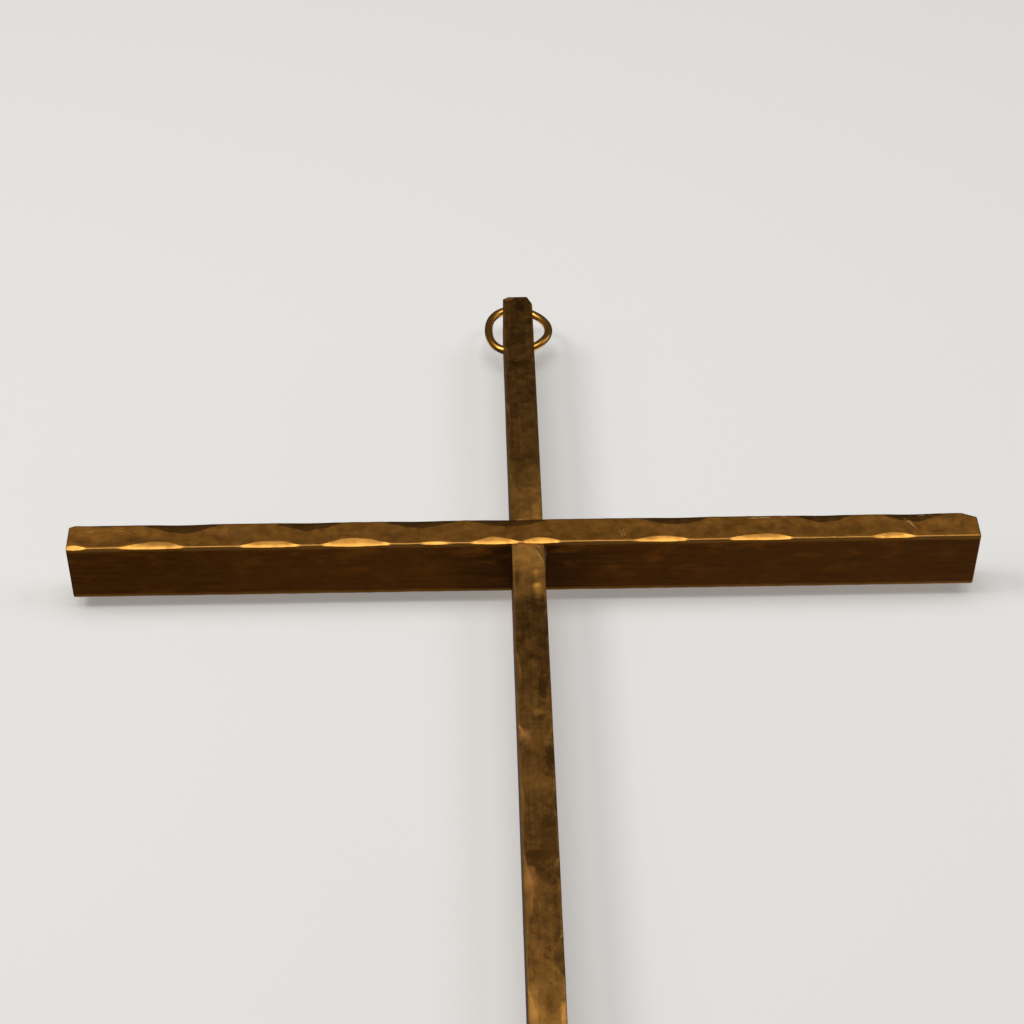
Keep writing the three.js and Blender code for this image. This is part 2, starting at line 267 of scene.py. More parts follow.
def corner_points(corner, to_a, to_b, leg_a, leg_b):
    """A cut corner with its two edges eased, from the side of face a to that of face b."""
    cut_a, cut_b = corner + to_a * leg_a, corner + to_b * leg_b
    chord = cut_b - cut_a
    ease = min(ARRIS_EASE, 0.3 * chord.length)
    flat = chord.normalized()
    points = []
    for knee, before, after in ((cut_a, to_a, flat), (cut_b, -flat, to_b)):
        first, last = knee + before * ease, knee + after * ease
        for t in (0.0, 0.5, 1.0):
            points.append(first * (1 - t) ** 2 + knee * (2 * t * (1 - t)) + last * t * t)
    middle = (points[2] + points[3]) / 2
    return points[:3] + [middle] + points[3:]


def run(start, end, step_count):
    """Points strictly between two ends."""
    return [start.lerp(end, (i + 1) / (step_count + 1)) for i in range(step_count)]


class Bar:
    """A flat bar on edge. u runs across its narrow face, v from the front face to the back."""

    LAYERS = ("edge", "facet", "side", "tone", "copper")

    def __init__(self, half, depth, low, high, seed):
        self.half, self.depth, self.low, self.high, self.seed = half, depth, low, high, seed
        self.blows, self.worn, self.painted_facet_light = ((), ()), (ARRIS, ARRIS), (1.0, 1.0)
        self.dents, self.tone, self.side_tone, self.stains, self.copper = (), (), (), (), ()
        self.notch_edges, self.raggedness = (), 0.0
        self.face_count = round(2 * half / FACE_STEP)
        self.side_count = round(depth / SIDE_STEP)

    def stations(self):
        places, s = list(self.notch_edges), self.low
        while s < self.high - END_STATION / 2:
            places.append(s)
            near_end = min(s - self.low, self.high - s) < END_ZONE
            s += END_STATION if near_end else STATION
        return sorted(places) + [self.high]

    def legs(self, corner, along):
        """The two legs of a corner's cut: along the front or back face, and along the side."""
        uneven = 1 + ARRIS_WAVER * wave(along, self.seed + corner, WAVER_LENGTH)
        if corner > 1:
            return BACK_ARRIS * uneven, BACK_ARRIS * uneven
        face_leg, side_leg = blow_legs(self.blows[corner], along)
        ragged = 1 + FACET_WAVER * wave(along, self.seed + corner + 5, WAVER_LENGTH)
        worn = self.worn[corner] * uneven
        return max(worn, face_leg * ragged), max(worn, side_leg)

    def section(self, along):
        """Points round the bar, and how far each is worn edge, facet (1 painted highlight, -1 painted
        shade) and side.
        """
        half = self.half + WIDTH_WAVER * wave(along, self.seed + 9, 18 * MM)
        u_axis, v_axis = Vector((1, 0)), Vector((0, 1))
        # front left, front right, back right, back left
        corners = [Vector((-half, 0)), Vector((half, 0)), Vector((half, self.depth)),
                   Vector((-half, self.depth))]
        ways = [(v_axis, u_axis), (-u_axis, v_axis), (-v_axis, -u_axis), (u_axis, -v_axis)]
        cuts, struck = [], []
        for i, (corner, (to_a, to_b)) in enumerate(zip(corners, ways)):
            face_leg, side_leg = self.legs(i, along)
            leg_a, leg_b = (side_leg, face_leg) if i % 2 == 0 else (face_leg, side_leg)
            cuts.append(corner_points(corner, to_a, to_b, leg_a, leg_b))
            share = (face_leg - FACET_FROM) / (FACET_FULL - FACET_FROM)
            struck.append(min(1.0, max(0.0, share)) if i < 2 else 0.0)
        painted_facet_light = (*self.painted_facet_light, 0.0, 0.0)
        counts = [self.face_count, self.side_count, self.face_count, self.side_count]
        points, marks = [], []
        for i, cut in enumerate(cuts):
            for k, p in enumerate(cut):
                inner = 0 < k < len(cut) - 1
                points.append(p)
                # the facet mark is the struck share times the side's sign: plus paints a highlight,
                # minus paints shade
                facet = struck[i] * painted_facet_light[i] if inner else 0.0
                rubbed = (1.0 if inner else RIM_RUB) * (1 - FACET_UNRUBBED * struck[i])
                marks.append((rubbed, facet, 0.0))
            for p in run(cut[-1], cuts[(i + 1) % 4][0], counts[i]):
                points.append(p)
                marks.append((0.0, 0.0, 1.0 if i % 2 else 0.0))
        return points, marks

    def dent(self, along, across):
        """How deep the front face is dented at one place."""
        p = Vector((along, across, 0)) / MM
        ragged = 1 + self.raggedness * noise.noise(p / 2)
        total = 0.0
        for centre, side, half_length, half_width, depth, rim in self.dents:
            r = math.hypot((p.x - centre) / half_length, (p.y - side) / half_width) * ragged
            if r < 1:
                total += depth * (1 - r * r) ** rim
        return total * MM

    def build(self, name, place):
        """place(along, u, v) gives the point in the frame."""
        bm = bmesh.new()
        layers = [bm.verts.layers.float.new(layer) for layer in self.LAYERS]
        grid = []
        for along in self.stations():
            line = []
            for p, mark in zip(*self.section(along)):
                vert = bm.verts.new(place(*self.worked(along, p.x, p.y)))
                # the tone takes the stained spots and the painted highlights among them; on the sides
                # it turns to the side tone, with painted shade by the crossing
                tone = between(self.tone, along) + patches(self.stains, along, p.x, 0.6)
                tone += (between(self.side_tone, along) - tone) * mark[-1]
                copper = patches(self.copper, along, p.x, 0.3)
                for layer, value in zip(layers, (*mark, tone, copper)):
                    vert[layer] = value
                line.append((vert, p))
            grid.append(line)
        count = len(grid[0])
        for a, b in zip(grid, grid[1:]):
            for k in range(count):
                j = (k + 1) % count
                bm.faces.new((a[k][0], a[j][0], b[j][0], b[k][0]))
        self.cap(bm, grid[0], self.low, place, layers)
        self.cap(bm, grid[-1], self.high, place, layers)
        bmesh.ops.recalc_face_normals(bm, faces=bm.faces)
        mesh = bpy.data.meshes.new(name)
        bm.to_mesh(mesh)
        bm.free()
        return mesh

    def worked(self, along, u, v):
        """A point of the drawn bar after easing its ends, denting its face and handling it."""
        reach = min(along - self.low, self.high - along)
        left = max(0.0, END_EASE - reach)
        shrink = END_EASE - math.sqrt(max(0.0, END_EASE ** 2 - left ** 2))
        middle = self.depth / 2
        u *= 1 - shrink / self.half
        v = middle + (v - middle) * (1 - shrink / middle)
        frontness = max(0.0, 1 - v / DENT_REACH)
        v += self.dent(along, u) * frontness
        p = Vector((along, u, v)) / MM
        uneven_u = noise.noise(p / 5)
        uneven_v = noise.noise(p / 6 + Vector((9, 4, self.seed)))
        return along, u + UNEVEN_ACROSS * uneven_u, v + UNEVEN_DEEP * uneven_v

    def cap(self, bm, rim, along, place, layers):
        """Closes an end with rings of faces that dish a little, as a filed end does."""
        middle_v = self.depth / 2
        previous = [vert for vert, _ in rim]
        for scale in END_RINGS:
            ring = []
            for _, p in rim:
                bulge = noise.noise(Vector((p.x, p.y, along)) / (3 * MM))
                dish = END_DISH * bulge * (1 - scale)
                spot = place(along + dish, p.x * scale, middle_v + (p.y - middle_v) * scale)
                vert = bm.verts.new(spot)
                for layer, value in zip(layers, END_MARK):
                    vert[layer] = value
                ring.append(vert)
            for k in range(len(ring)):
                j = (k + 1) % len(ring)
                bm.faces.new((previous[k], previous[j], ring[j], ring[k]))
            previous = ring
        bm.faces.new(previous)


def press_notch(mesh, axis, notch, floor, outward):
    """Presses a bar flat to the floor of its notch, and welds what falls together there."""
    bm = bmesh.new()
    bm.from_mesh(mesh)
    pressed = [v for v in bm.verts
               if abs(v.co[axis]) < notch and (v.co.y - floor) * outward > 0]
    for v in pressed:
        v.co.y = floor
    bmesh.ops.remove_doubles(bm, verts=pressed, dist=NOTCH_WELD)
    bm.to_mesh(mesh)
    bm.free()


def clean(mesh):
    """Welds what lies together and turns the faces outwards."""
    bm = bmesh.new()
    bm.from_mesh(mesh)
    bmesh.ops.remove_doubles(bm, verts=bm.verts, dist=WELD)
    bmesh.ops.dissolve_degenerate(bm, edges=bm.edges, dist=WELD)
    bmesh.ops.recalc_face_normals(bm, faces=bm.faces)
    bm.to_mesh(mesh)
    bm.free()


def knock_off(mesh, corner, legs):
    """Presses the corner of a bar flat, with the given leg in mm along each edge."""
    slope = Vector([1 / (leg * MM) for leg in legs])
    normal = slope.normalized()
    limit = corner.dot(normal) - 1 / slope.length
    for v in mesh.vertices:
        over = v.co.dot(normal) - limit
        if over > 0:
            v.co -= normal * over
            for name, value in KNOCKED_MARK.items():
                mesh.attributes[name].data[v.index].value = value


def shown(mesh, material, body, slot, *nodes):
    """Makes the mesh a piece of the object that stands for CAD nodes."""
    mesh.materials.append(material)
    for polygon in mesh.polygons:
        polygon.use_smooth = True
    piece = bpy.data.objects.new(mesh.name, mesh)
    bpy.context.scene.collection.objects.link(piece)
    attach(piece, body)
    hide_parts(*nodes)
    return piece


def notch_edges(notch):
    """Stations just inside and outside a notch, so that its walls stand square."""
    return [side * (notch + step) for side in (-1, 1) for step in (-NOTCH_WALL, NOTCH_WALL)]


def upright_piece(material):
    bar = Bar(HALF_UPRIGHT, -UPRIGHT_FRONT, UPRIGHT_LO.z, UPRIGHT_HI.z, seed=1)
    # the upright's left facets take a painted highlight, its right ones none
    bar.blows, bar.painted_facet_light = (UPRIGHT_LEFT_BLOWS, UPRIGHT_RIGHT_BLOWS), (0.4, 0.0)
    bar.dents, bar.tone, bar.side_tone = UPRIGHT_DENTS, UPRIGHT_TONE, UPRIGHT_SIDE_TONE_AND_SHADE
    bar.stains, bar.copper, bar.raggedness = UPRIGHT_STAINS_AND_HIGHLIGHTS, UPRIGHT_COPPER, 0.4
    floor = LAP_PLANE + NOTCH_FLOOR
    notch = HALF_BAR + NOTCH_PLAY
    bar.notch_edges = notch_edges(notch)
    mesh = bar.build("upright_hammered", lambda s, u, v: Vector((u, UPRIGHT_FRONT + v, s)))
    press_notch(mesh, 2, notch, floor, -1)
    for side, legs in ((1, UPRIGHT_TOP_RIGHT), (-1, UPRIGHT_TOP_LEFT)):
        knock_off(mesh, Vector((side * HALF_UPRIGHT, UPRIGHT_FRONT, UPRIGHT_HI.z)), legs)
    clean(mesh)
    drill(shown(mesh, material, "cross", "bar_brass", "upright_bar"))


def crossbar_piece(material):
    bar = Bar(HALF_BAR, -CROSSBAR_FRONT, CROSSBAR_LO.x, CROSSBAR_HI.x, seed=3)
    bar.blows, bar.worn = (CROSSBAR_LOWER_BLOWS, CROSSBAR_UPPER_BLOWS), (RUBBED_ARRIS, ARRIS)
    # the crossbar's lower facets take a painted highlight and its upper ones painted shade
    bar.painted_facet_light = (1.0, -1.0)
    bar.dents, bar.tone, bar.side_tone = CROSSBAR_DENTS, CROSSBAR_TONE, CROSSBAR_SIDE_TONE_AND_SHADE
    bar.stains, bar.copper = CROSSBAR_STAINS, CROSSBAR_COPPER
    floor = LAP_PLANE - NOTCH_FLOOR
    notch = HALF_UPRIGHT + NOTCH_PLAY
    bar.notch_edges = notch_edges(notch)
    mesh = bar.build("crossbar_hammered", lambda s, u, v: Vector((s, CROSSBAR_FRONT + v, u)))
    press_notch(mesh, 0, notch, floor, 1)
    for x, legs in ((CROSSBAR_HI.x, CROSSBAR_UPPER_RIGHT), (CROSSBAR_LO.x, CROSSBAR_UPPER_LEFT)):
        knock_off(mesh, Vector((x, CROSSBAR_FRONT, HALF_BAR)), legs)
    clean(mesh)
    shown(mesh, material, "cross", "bar_brass", "crossbar")


def lofted(bm, rows, name):
    """The mesh of a closed body through rows of points, with flat ends."""
    count = len(rows[0])
    for a, b in zip(rows, rows[1:]):
        for k in range(count):
            bm.faces.new((a[k], a[(k + 1) % count], b[(k + 1) % count], b[k]))
    bm.faces.new(rows[0])
    bm.faces.new(rows[-1][::-1])
    bmesh.ops.recalc_face_normals(bm, faces=bm.faces)
    mesh = bpy.data.meshes.new(name)
    bm.to_mesh(mesh)
    bm.free()
    return mesh


def drill(piece):
    """The ring's hole, with a small countersink at each mouth, cut by a boolean."""
    half, sides, mouth = HALF_UPRIGHT, 64, HOLE_RADIUS + COUNTERSINK
    profile = [(-half - MM, mouth + MM), (-half, mouth), (-half + COUNTERSINK, HOLE_RADIUS),
               (half - COUNTERSINK, HOLE_RADIUS), (half, mouth), (half + MM, mouth + MM)]
    bm = bmesh.new()
    rings = []
    for x, r in profile:
        rings.append([
            bm.verts.new(HINGE + Vector((x, r * math.cos(a), r * math.sin(a))))
            for a in (2 * math.pi * k / sides for k in range(sides))
        ])
    cutter = bpy.data.objects.new("drill", lofted(bm, rings, "drill"))
    bpy.context.scene.collection.objects.link(cutter)
    cut = piece.modifiers.new("drill", "BOOLEAN")
    cut.operation, cut.solver, cut.object = "DIFFERENCE", "EXACT", cutter
    evaluated = piece.evaluated_get(bpy.context.evaluated_depsgraph_get())
    drilled = bpy.data.meshes.new_from_object(evaluated)
    piece.modifiers.clear()
    drilled.name = piece.data.name
    piece.data = drilled
    bpy.data.objects.remove(cutter)


# ---- ring ---------------------------------------------------------------------------------
def ring_reach(angle):
    """From the ring's middle to the wire's centreline, at an angle from its right side."""
    shoulders = RING_FULLNESS * (math.cos(3 * angle) - math.cos(angle))
    return RING_RADIUS - RING_OVAL * math.cos(2 * angle) + shoulders


def ring_piece(material):
    """Drawn wire bent by hand to a ring, its ends butted with a hairline gap."""
    wire = (RING_HI.y - RING_LO.y) / 2
    centre = (RING_LO + RING_HI) / 2
    steps, sides = 220, 28
    gap = WIRE_END_GAP / RING_RADIUS
    bm = bmesh.new()
    rows = []
    for i in range(steps + 1):
        t = i / steps
        a = WIRE_ENDS_AT + gap + (2 * math.pi - 2 * gap) * t
        out = Vector((math.cos(a), 0, math.sin(a)))
        step_off = Vector((0, WIRE_END_STEP, 0)) * (t - 0.5) * abs(2 * t - 1) ** 8
        middle = centre + out * ring_reach(a) + step_off
        end = min(i, steps - i)
        thin = WIRE_TAPER[end] if end < len(WIRE_TAPER) else 1.0
        row = []
        for k in range(sides):
            b = 2 * math.pi * k / sides
            wobble = 1 + WIRE_WAVER * noise.noise(Vector((a * 4, math.cos(b), math.sin(b))))
            r = wire * thin * wobble
            row.append(bm.verts.new(middle + out * r * math.cos(b) + Vector((0, r * math.sin(b), 0))))
        rows.append(row)
    shown(lofted(bm, rows, "ring_wire"), material, "ring", "ring_brass", "hanging_ring")


# ---- solder -------------------------------------------------------------------------------
def seam_piece(node, material):
    """A run-in fillet in one inner corner of the crossing, uneven along its length."""
    low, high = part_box(node)
    side_x = 1 if low.x > 0 else -1
    side_z = 1 if low.z > 0 else -1
    corner = Vector((side_x * HALF_UPRIGHT, 0, side_z * HALF_BAR))
    steps, arc = 60, 8
    bm = bmesh.new()
    rows = []
    for i in range(steps + 1):
        t = i / steps
        y = low.y + (high.y - low.y) * t
        swell = 0.62 + 0.3 * noise.noise(Vector((y / (2.2 * MM), side_x * 3, side_z * 5)))
        ends = min(1.0, 12 * min(t, 1 - t) + 0.25)
        leg = SEAM_LEG * swell * ends
        row = [bm.verts.new(corner + Vector((-side_x * SEAM_TUCK, y, -side_z * SEAM_TUCK)))]
        for k in range(arc + 1):
            q = k / arc
            hollow = 0.5 * leg * q * (1 - q) - SEAM_SINK
            x, z = leg * (1 - q) ** 2 + hollow, leg * q ** 2 + hollow
            row.append(bm.verts.new(corner + Vector((side_x * x, y, side_z * z))))
        rows.append(row)
    shown(lofted(bm, rows, node + "_bead"), material, "cross", "solder", node)


# ---- materials ----------------------------------------------------------------------------
UPRIGHT_DULL, UPRIGHT_BRIGHT, UPRIGHT_PATCHY = (0.12, 0.053, 0.012), (0.82, 0.38, 0.078), 0.6
CROSSBAR_DULL, CROSSBAR_BRIGHT, CROSSBAR_PATCHY = (0.27, 0.112, 0.018), (0.68, 0.29, 0.052), 0.75
# the bloom is a warm patina on the sides, laid on as painted light towards their front edges
SIDE_DULL, SIDE_RUBBED, SIDE_BLOOM_AND_LIGHT = (0.11, 0.037, 0.006), (0.34, 0.117, 0.014), (0.44, 0.145, 0.016)
# colours of the facets: a painted highlight on those that face the light, painted shade on those that
# face away
LIT_STRUCK_BRIGHT, LIT_STRUCK_TARNISHED = (0.72, 0.34, 0.066), (0.52, 0.225, 0.036)
SHADED_FACET = (0.20, 0.084, 0.018)
WORN_EDGE = (0.82, 0.42, 0.11)
SPECK = (0.16, 0.06, 0.014)
COPPER = (0.78, 0.33, 0.11)
OVAL_GRIME = (0.22, 0.09, 0.02)
BARE_SCRATCH = (0.95, 0.6, 0.22)
RING_YELLOW, RING_WARM = (1.0, 0.50, 0.09), (0.80, 0.36, 0.055)
SOLDER_LIGHT, SOLDER_DARK = (0.26, 0.115, 0.03), (0.17, 0.07, 0.016)


class Nodes:
    """A short hand for building a material's node tree."""

    def __init__(self, name):
        self.material = bpy.data.materials.new(name)
        self.material.use_nodes = True
        self.tree = self.material.node_tree
        self.shader = self.tree.nodes["Principled BSDF"]
        self.place = self.add("ShaderNodeTexCoord").outputs["Object"]

    def add(self, kind, **settings):
        node = self.tree.nodes.new(kind)
        for key, value in settings.items():
            setattr(node, key, value)
        return node

    def link(self, source, target):
        self.tree.links.new(source, target)

    def attribute(self, name):
        return self.add("ShaderNodeAttribute", attribute_name=name).outputs["Fac"]

    def stretched(self, scale):
        """The place scaled along each axis: less than 1 draws a noise out along that axis."""
        mapping = self.add("ShaderNodeMapping")
        mapping.inputs["Scale"].default_value = scale
        self.link(self.place, mapping.inputs["Vector"])
        return mapping.outputs["Vector"]

    def noise(self, scale, detail=4.0, rough=0.55, vector=None, distort=0.0):
        """Cloudy noise, with about as many lumps to the metre as scale says."""
        node = self.add("ShaderNodeTexNoise")
        node.inputs["Scale"].default_value = scale
        node.inputs["Detail"].default_value = detail
        node.inputs["Roughness"].default_value = rough
        node.inputs["Distortion"].default_value = distort
        self.link(vector or self.place, node.inputs["Vector"])
        return node.outputs["Fac"]

    def ramp(self, value, low, high, to_low=0.0, to_high=1.0, kind="SMOOTHSTEP"):
        """Turns the values from low to high into those from to_low to to_high, and clamps them."""
        node = self.add("ShaderNodeMapRange", interpolation_type=kind)
        for key, number in (("From Min", low), ("From Max", high), ("To Min", to_low),
                            ("To Max", to_high)):
            node.inputs[key].default_value = number
        self.link(value, node.inputs["Value"])
        return node.outputs["Result"]

    def math(self, operation, a, b):
        node = self.add("ShaderNodeMath", operation=operation)
        for socket, value in zip(node.inputs, (a, b)):
            if isinstance(value, (int, float)):
                socket.default_value = value
            else:
                self.link(value, socket)
        return node.outputs[0]

    def mix(self, factor, a, b):
        node = self.add("ShaderNodeMix", data_type="RGBA")
        for socket, value in ((node.inputs[0], factor), (node.inputs[6], a), (node.inputs[7], b)):
            if isinstance(value, tuple):
                socket.default_value = (*value, 1.0)
            elif isinstance(value, (int, float)):
                socket.default_value = value
            else:
                self.link(value, socket)
        return node.outputs[2]

    def vector(self, operation, a, b=None):
        node = self.add("ShaderNodeVectorMath", operation=operation)
        for socket, value in zip(node.inputs, (a, b)):
            if isinstance(value, Vector):
                socket.default_value = value
            elif value:
                self.link(value, socket)
        return node.outputs["Value" if operation in ("DOT_PRODUCT", "LENGTH") else "Vector"]

    def scratch(self, start, end):
        """1 on the hair line between two points of the front face, 0 away from it."""
        flat = self.vector("MULTIPLY", self.place, Vector((1, 0, 1)))
        offset = self.vector("SUBTRACT", flat, start)
        reach = end - start
        part = self.vector("DOT_PRODUCT", offset, reach / reach.length_squared)
        clamped = self.ramp(part, 0.0, 1.0, kind="LINEAR")
        foot = self.add("ShaderNodeVectorMath", operation="SCALE")
        foot.inputs[0].default_value = reach
        self.link(clamped, foot.inputs["Scale"])
        away = self.vector("LENGTH", self.vector("SUBTRACT", offset, foot.outputs["Vector"]))
        return self.ramp(away, *SCRATCH_FADE, 1.0, 0.0)

    def oval(self, centre, half_length, half_width):
        """1 on the outline of an oval in the front face of the crossbar, 0 away from it."""
        offset = self.vector("SUBTRACT", self.place, centre)
        share = self.vector("MULTIPLY", offset, Vector((1 / half_length, 0, 1 / half_width)))
        away = self.math("SUBTRACT", self.vector("LENGTH", share), 1.0)
        return self.ramp(self.math("ABSOLUTE", away, 0.0), *OVAL_FADE, 1.0, 0.0)

    def bump(self, height, distance, strength=1.0, normal=None):
        node = self.add("ShaderNodeBump")
        node.inputs["Distance"].default_value = distance
        node.inputs["Strength"].default_value = strength
        self.link(height, node.inputs["Height"])
        if normal:
            self.link(normal, node.inputs["Normal"])
        return node.outputs["Normal"]


def scratch_lines(n, along, scratches):
    """1 on the hair lines of all the scratches, 0 away from them."""
    lines = None
    for (from_along, from_across), (to_along, to_across) in scratches:
        start, end = Vector((0, 0, 0)), Vector((0, 0, 0))
        start[along], start[2 - along] = from_along * MM, from_across * MM
        end[along], end[2 - along] = to_along * MM, to_across * MM
        line = n.scratch(start, end)
        lines = n.math("MAXIMUM", lines, line) if lines else line
    return lines


def bar_brass(name, along, scratches, dull, bright, patchy, oval=None):
    """Old satin brass: a mottled front, hammered facets painted bright where they face the light and
    dark where they face away, and brown drawn sides with painted shade.

    along is the axis that the bar was drawn along: 0 for X, 2 for Z. dull and bright are the
    front's colours where it is most tarnished and most rubbed, and patchy is how uneven it is.
    """
    n = Nodes(name)
    edge, facet, side = n.attribute("edge"), n.attribute("facet"), n.attribute("side")
    tone, copper = n.attribute("tone"), n.attribute("copper")
    streak = [1.0, 1.0, 1.0]
    streak[along] = 0.05
    patch = [1.0, 1.0, 1.0]
    patch[along] = 0.45
    streaks = n.noise(1300, 3, 0.6, n.stretched(streak))
    broad = n.noise(110, 4, 0.55, distort=0.5)
    mottle = n.noise(480, 5, 0.6, distort=0.4)
    grain = n.noise(3600, 2, 0.5)
    specks = n.noise(1500, 2, 0.5)

    shade = tone
    for cloud, depth in ((broad, 0.15), (mottle, 0.14), (grain, 0.12), (streaks, 0.09)):
        swing = n.ramp(cloud, 0.3, 0.7, -depth * patchy, depth * patchy, "LINEAR")
        shade = n.math("ADD", shade, swing)
    face = n.mix(n.ramp(shade, 0.0, 1.0, kind="LINEAR"), dull, bright)
    face = n.mix(n.ramp(specks, 0.66, 0.73, 0.0, 0.5), face, SPECK)
    face = n.mix(n.math("MULTIPLY", copper, 0.55), face, COPPER)
    # the painted-highlight colour of the lit struck facets, mottled
    struck = n.mix(n.ramp(mottle, 0.42, 0.7, 0.0, 0.8), LIT_STRUCK_BRIGHT, LIT_STRUCK_TARNISHED)
    warm = n.ramp(n.noise(240, 5, 0.6, n.stretched(patch), 0.2), 0.48, 0.7)
    # on the sides the tone carries painted shade in the inner corners by the crossing, with streaky
    # grime over it
    grime_and_shade = n.math("ADD", tone, n.ramp(streaks, 0.3, 0.7, -0.17, 0.17, "LINEAR"))
    brown = n.mix(n.ramp(grime_and_shade, 0.0, 1.0, kind="LINEAR"), SIDE_DULL, SIDE_RUBBED)
    forward = n.vector("DOT_PRODUCT", n.place, Vector((0, -1, 0)))
    # the warm bloom on the sides is thin near the back face and full towards the front edge: painted
    # shade towards the back, painted light towards the front, over patchy warm patina
    frontness = n.ramp(forward, 3 * MM, 16 * MM, 0.25, 0.7)
    brown = n.mix(n.math("MULTIPLY", warm, frontness), brown, SIDE_BLOOM_AND_LIGHT)
    colour = n.mix(side, face, brown)
    # facets with a plus mark get the painted highlight colour, those with a minus mark the painted
    # shade colour
    colour = n.mix(n.ramp(facet, 0.0, 1.0, 0.0, 0.85), colour, struck)
    colour = n.mix(n.ramp(facet, -1.0, 0.0, 0.75, 0.0), colour, SHADED_FACET)
    colour = n.mix(n.math("MULTIPLY", edge, 0.5), colour, WORN_EDGE)

    rough = n.ramp(mottle, 0.3, 0.75, 0.38, 0.47)
    rough = n.math("ADD", rough, n.math("MULTIPLY", side, 0.04))
    rough = n.math("SUBTRACT", rough, n.ramp(facet, 0.0, 1.0, 0.0, 0.08))

    normal = n.bump(streaks, 0.006 * MM, 0.5)
    normal = n.bump(mottle, 0.012 * MM, 0.6, normal)
    normal = n.bump(grain, 0.006 * MM, 0.6, normal)
    front_only = n.math("MULTIPLY", n.ramp(forward, 8 * MM, 10 * MM), n.math("SUBTRACT", 1.0, side))
    lines = n.math("MULTIPLY", scratch_lines(n, along, scratches), front_only)
    if oval:
        x, z, half_length, half_width = (value * MM for value in oval)
        rim = n.oval(Vector((x, 0, z)), half_length, half_width)
        rim = n.math("MULTIPLY", rim, front_only)
        rim = n.math("MULTIPLY", rim, n.ramp(mottle, 0.4, 0.6, 0.15, 1.0))
        colour = n.mix(n.math("MULTIPLY", rim, 0.55), colour, OVAL_GRIME)
        normal = n.bump(rim, -0.02 * MM, 1.0, normal)
    lines = n.math("MULTIPLY", lines, n.ramp(specks, 0.4, 0.55, 0.3, 0.9))
    colour = n.mix(lines, colour, BARE_SCRATCH)
    normal = n.bump(lines, -0.05 * MM, 1.0, normal)

    n.link(colour, n.shader.inputs["Base Color"])
    n.link(rough, n.shader.inputs["Roughness"])
    n.link(normal, n.shader.inputs["Normal"])
    n.shader.inputs["Metallic"].default_value = 1.0
    return n.material


def ring_brass():
    n = Nodes("ring_polished_brass")
    soft = n.noise(260, 4, 0.6)
    fine = n.noise(2600, 3, 0.6)
    colour = n.mix(n.ramp(soft, 0.4, 0.7), RING_YELLOW, RING_WARM)
    n.link(colour, n.shader.inputs["Base Color"])
    n.shader.inputs["Metallic"].default_value = 1.0
    n.link(n.ramp(soft, 0.3, 0.75, 0.24, 0.32), n.shader.inputs["Roughness"])
    n.link(n.bump(fine, 0.006 * MM, 0.4), n.shader.inputs["Normal"])
    return n.material


def solder_metal():
    n = Nodes("toned_silver_solder")
    lumps = n.noise(900, 3, 0.5)
    colour = n.mix(n.ramp(lumps, 0.4, 0.7), SOLDER_LIGHT, SOLDER_DARK)
    n.link(colour, n.shader.inputs["Base Color"])
    n.shader.inputs["Metallic"].default_value = 1.0
    n.link(n.ramp(lumps, 0.3, 0.7, 0.4, 0.58), n.shader.inputs["Roughness"])
    n.link(n.bump(lumps, 0.06 * MM, 0.7), n.shader.inputs["Normal"])
    return n.material


# ---- stage, light and camera ----------------------------------------------------------------
def stage_material(name, colour, glow, one_sided=False):
    n = Nodes(name)
    n.shader.inputs["Base Color"].default_value = (*colour, 1)
    n.shader.inputs["Roughness"].default_value = 0.9
    n.shader.inputs["Specular IOR Level"].default_value = 0.0
    n.shader.inputs["Emission Color"].default_value = (*colour, 1)
    n.shader.inputs["Emission Strength"].default_value = glow
    if one_sided:
        clear = n.add("ShaderNodeBsdfTransparent")
        choose = n.add("ShaderNodeMixShader")
        n.link(n.add("ShaderNodeNewGeometry").outputs["Backfacing"], choose.inputs[0])
        n.link(n.shader.outputs[0], choose.inputs[1])
        n.link(clear.outputs[0], choose.inputs[2])
        n.link(choose.outputs[0], n.tree.nodes["Material Output"].inputs["Surface"])
    return n.material


def sheet(name, corners, material):
    mesh = bpy.data.meshes.new(name)
    mesh.from_pydata(corners, [], [(0, 1, 2, 3)])
    mesh.materials.append(material)
    obj = bpy.data.objects.new(name, mesh)
    bpy.context.scene.collection.objects.link(obj)
    return obj


def make_stage():
    """A pale floor well below, and a pale wall just behind that only the camera in front sees.

    Neither shows in the brass, so that the metal mirrors only the softboxes and a dim room.
    """
    reach, floor = 4.0, CAD_BOX[0].z - 0.4
    wall_at = CAD_BOX[1].y + 3.5 * MM
    ground = sheet("floor", [(-reach, -reach, floor), (reach, -reach, floor),
                             (reach, reach, floor), (-reach, reach, floor)],
                   stage_material("pale_floor", PALE, 0.5))
    wall = sheet("wall", [(-reach, wall_at, floor), (reach, wall_at, floor),
                          (reach, wall_at, reach), (-reach, wall_at, reach)],
                 stage_material("pale_wall", PALE, 0.3, one_sided=True))
    for stage in (ground, wall):
        stage.visible_diffuse = stage.visible_glossy = stage.visible_shadow = False


def softbox(name, place, size, radiance):
    """A square light of the given size, as bright all over as its radiance says."""
    aim = Vector((0, CROSSBAR_FRONT / 2, 0))
    data = bpy.data.lights.new(name, "AREA")
    data.shape, data.size, data.energy = "SQUARE", size, radiance * math.pi * size ** 2
    lamp = bpy.data.objects.new(name, data)
    lamp.location = place
    lamp.rotation_mode = "QUATERNION"
    lamp.rotation_quaternion = (aim - Vector(place)).to_track_quat("-Z", "Y")
    lamp.visible_camera = False
    bpy.context.scene.collection.objects.link(lamp)


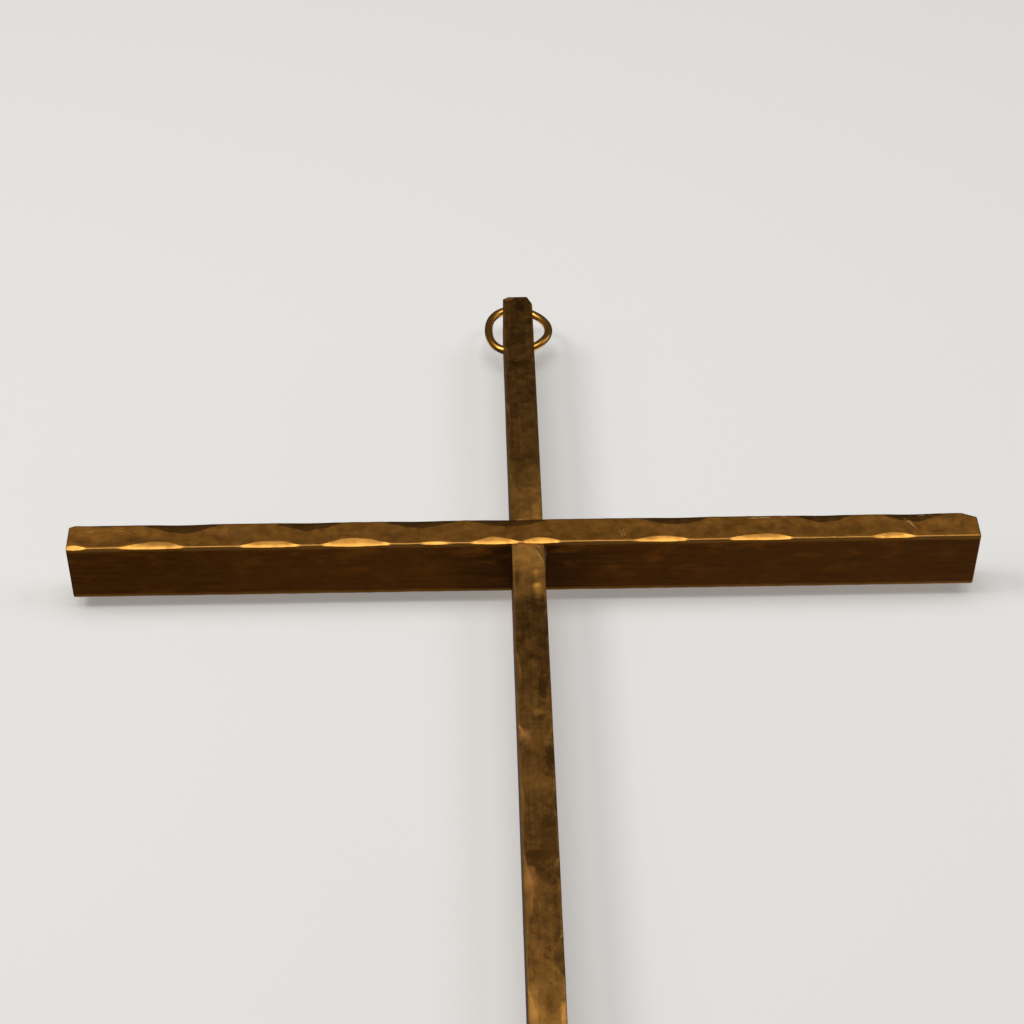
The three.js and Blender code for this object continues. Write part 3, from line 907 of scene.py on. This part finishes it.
PALE = (0.8, 0.785, 0.76)  # the floor and the wall
BACKDROP = (0.62, 0.61, 0.59, 1)  # what the camera sees past them
DIM_ROOM = (0.045, 0.045, 0.045, 1)  # what the metal mirrors between the softboxes
# place, size and radiance of each softbox
SOFTBOXES = {
    "softbox_front": ((-0.03, -1.1, 0.05), 0.75, 2.45),
    "softbox_front_left": ((-0.66, -0.9, 0.02), 0.32, 8.0),
    "softbox_front_right": ((0.66, -0.9, 0.02), 0.4, 3.0),
    "softbox_left": ((-0.85, -0.8, -0.2), 0.5, 1.2),
    "softbox_right": ((1.2, -0.25, 0.25), 0.6, 0.8),
    "softbox_back": ((0.75, 1.0, -0.05), 0.7, 1.2),
    "softbox_back_high": ((-0.85, 0.8, 0.65), 0.7, 0.6),
    "softbox_back_low": ((0.0, 0.8, -0.85), 0.9, 0.22),
}


def make_light():
    for name, (place, size, radiance) in SOFTBOXES.items():
        softbox(name, place, size, radiance)
    world = bpy.data.worlds.new("studio")
    bpy.context.scene.world = world
    world.use_nodes = True
    nodes, links = world.node_tree.nodes, world.node_tree.links
    seen = nodes["Background"]
    seen.inputs["Color"].default_value = BACKDROP
    felt = nodes.new("ShaderNodeBackground")
    felt.inputs["Color"].default_value = DIM_ROOM
    choose, path = nodes.new("ShaderNodeMixShader"), nodes.new("ShaderNodeLightPath")
    links.new(path.outputs["Is Camera Ray"], choose.inputs[0])
    links.new(felt.outputs[0], choose.inputs[1])
    links.new(seen.outputs[0], choose.inputs[2])
    links.new(choose.outputs[0], nodes["World Output"].inputs["Surface"])


def make_camera():
    """The camera looks up at the cross from below its foot, as one looks along a cross lying down."""
    over_face, aside, roll = math.radians(43.4), math.radians(-1.59), math.radians(0.24)
    distance, shift_left, shift_up = 0.555, 0.0036, 0.0044
    back = Vector((math.sin(aside) * math.cos(over_face), -math.sin(over_face),
                   -math.cos(aside) * math.cos(over_face)))
    right = Vector((math.cos(aside), 0, math.sin(aside)))
    up = back.cross(right)
    turn = Matrix.Rotation(roll, 3, back)
    right, up = turn @ right, turn @ up
    crossing = Vector((0, CROSSBAR_FRONT, 0))
    data = bpy.data.cameras.new("camera")
    data.lens, data.sensor_width = 83.0, 36.0
    data.clip_start, data.clip_end = 0.01, 50
    camera = bpy.data.objects.new("camera", data)
    camera.location = crossing + back * distance - right * shift_left + up * shift_up
    camera.rotation_mode = "QUATERNION"
    camera.rotation_quaternion = Matrix((right, up, back)).transposed().to_quaternion()
    bpy.context.scene.collection.objects.link(camera)
    bpy.context.scene.camera = camera


make_camera()
make_light()
make_stage()
upright_piece(bar_brass("upright_brass", 2, UPRIGHT_SCRATCHES,
                        UPRIGHT_DULL, UPRIGHT_BRIGHT, UPRIGHT_PATCHY))
crossbar_piece(bar_brass("crossbar_brass", 0, CROSSBAR_SCRATCHES,
                         CROSSBAR_DULL, CROSSBAR_BRIGHT, CROSSBAR_PATCHY, OVAL_MARK))
ring_piece(ring_brass())
solder = solder_metal()
for height in ("upper", "lower"):
    for hand in ("left", "right"):
        seam_piece(f"seam_solder_{height}_{hand}", solder)
film = frame["nodes"]["lap_solder"]
film.data.materials.clear()
film.data.materials.append(solder)
bpy.context.scene.view_settings.view_transform = "Standard"
